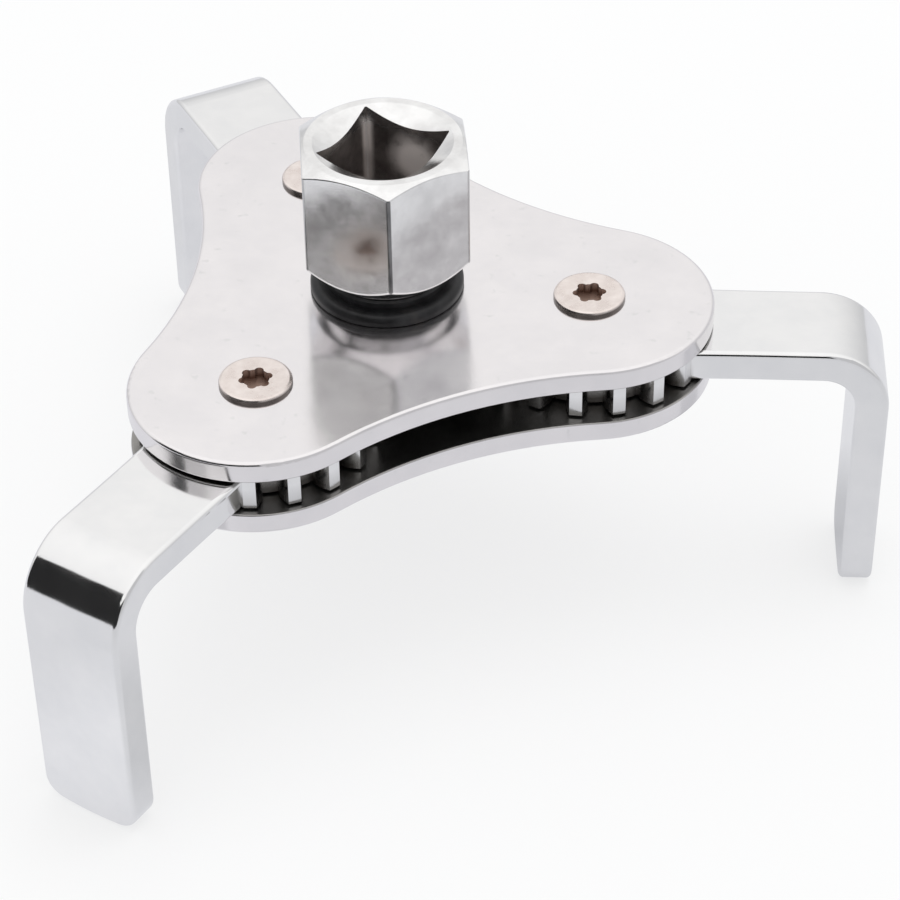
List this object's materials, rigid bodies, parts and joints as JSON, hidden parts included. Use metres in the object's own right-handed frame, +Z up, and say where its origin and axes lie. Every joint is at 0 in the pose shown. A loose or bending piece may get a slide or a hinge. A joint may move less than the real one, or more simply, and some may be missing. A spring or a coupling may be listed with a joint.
{
  "type": "oil filter wrench",
  "caption": "Geared two-way oil filter wrench: a hexagon and square drive turns a gear between two lobed plates and swings the L-shaped jaws in onto the filter.",
  "frame": {"origin": "on the drive axis, level with the tips of the jaws", "axes": "+Z up along the drive axis, out of the square drive; +X from the drive axis to the pivot of the right-hand jaw"},
  "size_m": [0.1122, 0.1259, 0.068],
  "materials": {
    "chrome_plate": "polished chrome plating",
    "chrome_jaw": "bright chrome plating over a flat bar",
    "satin_chrome": "satin chrome, faintly mottled",
    "black_oxide": "black oxide, oiled",
    "nickel_screw": "warm nickel plating",
    "plain_steel": "ground steel"
  },
  "bodies": {
    "housing": {"upper_plate": "chrome_plate", "lower_plate": "chrome_plate", "pivot_screw_right": "nickel_screw", "pivot_post_right": "nickel_screw", "spacer_sleeve_right": "plain_steel", "washer_upper_right": "plain_steel", "washer_lower_right": "plain_steel", "pivot_screw_rear_left": "nickel_screw", "pivot_post_rear_left": "nickel_screw", "spacer_sleeve_rear_left": "plain_steel", "washer_upper_rear_left": "plain_steel", "washer_lower_rear_left": "plain_steel", "pivot_screw_front_left": "nickel_screw", "pivot_post_front_left": "nickel_screw", "spacer_sleeve_front_left": "plain_steel", "washer_upper_front_left": "plain_steel", "washer_lower_front_left": "plain_steel", "thrust_washer_upper": "plain_steel", "thrust_washer_lower": "plain_steel"},
    "drive": {"drive_gear": "black_oxide", "shaft_collar": "black_oxide"},
    "jaw_right": {"leg_right": "chrome_jaw"},
    "jaw_rear_left": {"leg_rear_left": "chrome_jaw"},
    "jaw_front_left": {"leg_front_left": "chrome_jaw"},
    "adaptor": {"drive_adaptor": "satin_chrome", "adaptor_detent_spring": "plain_steel"},
    "detent_ball": {"adaptor_detent_ball": "plain_steel"}
  },
  "joints": [
    {"name": "drive_spin", "type": "hinge", "parent": "housing", "child": "drive", "pos_m": [0, 0, 0.0391], "axis": [0, 0, 1], "range_deg": [-121.8, 132]},
    {"name": "swing_right", "type": "hinge", "parent": "housing", "child": "jaw_right", "pos_m": [0.02775, 0, 0.0391], "axis": [0, 0, 1], "range_deg": [-116.6, 107.6]},
    {"name": "swing_rear_left", "type": "hinge", "parent": "housing", "child": "jaw_rear_left", "pos_m": [-0.01388, 0.02403, 0.0391], "axis": [0, 0, 1], "range_deg": [-116.6, 107.6]},
    {"name": "swing_front_left", "type": "hinge", "parent": "housing", "child": "jaw_front_left", "pos_m": [-0.01388, -0.02403, 0.0391], "axis": [0, 0, 1], "range_deg": [-116.6, 107.6]},
    {"name": "adaptor_pull_off", "type": "slide", "parent": "drive", "child": "adaptor", "axis": [0, 0, 1], "range_m": [0, 0.0145]},
    {"name": "ball_press", "type": "slide", "parent": "adaptor", "child": "detent_ball", "axis": [0.9298, -0.368, 0], "range_m": [-0.0005, 0], "deforming": ["adaptor_detent_spring"]}
  ],
  "couplings": [
    {"joint": "swing_right", "follows": "drive_spin", "ratio": -0.88235},
    {"joint": "swing_rear_left", "follows": "drive_spin", "ratio": -0.88235},
    {"joint": "swing_front_left", "follows": "drive_spin", "ratio": -0.88235}
  ]
}
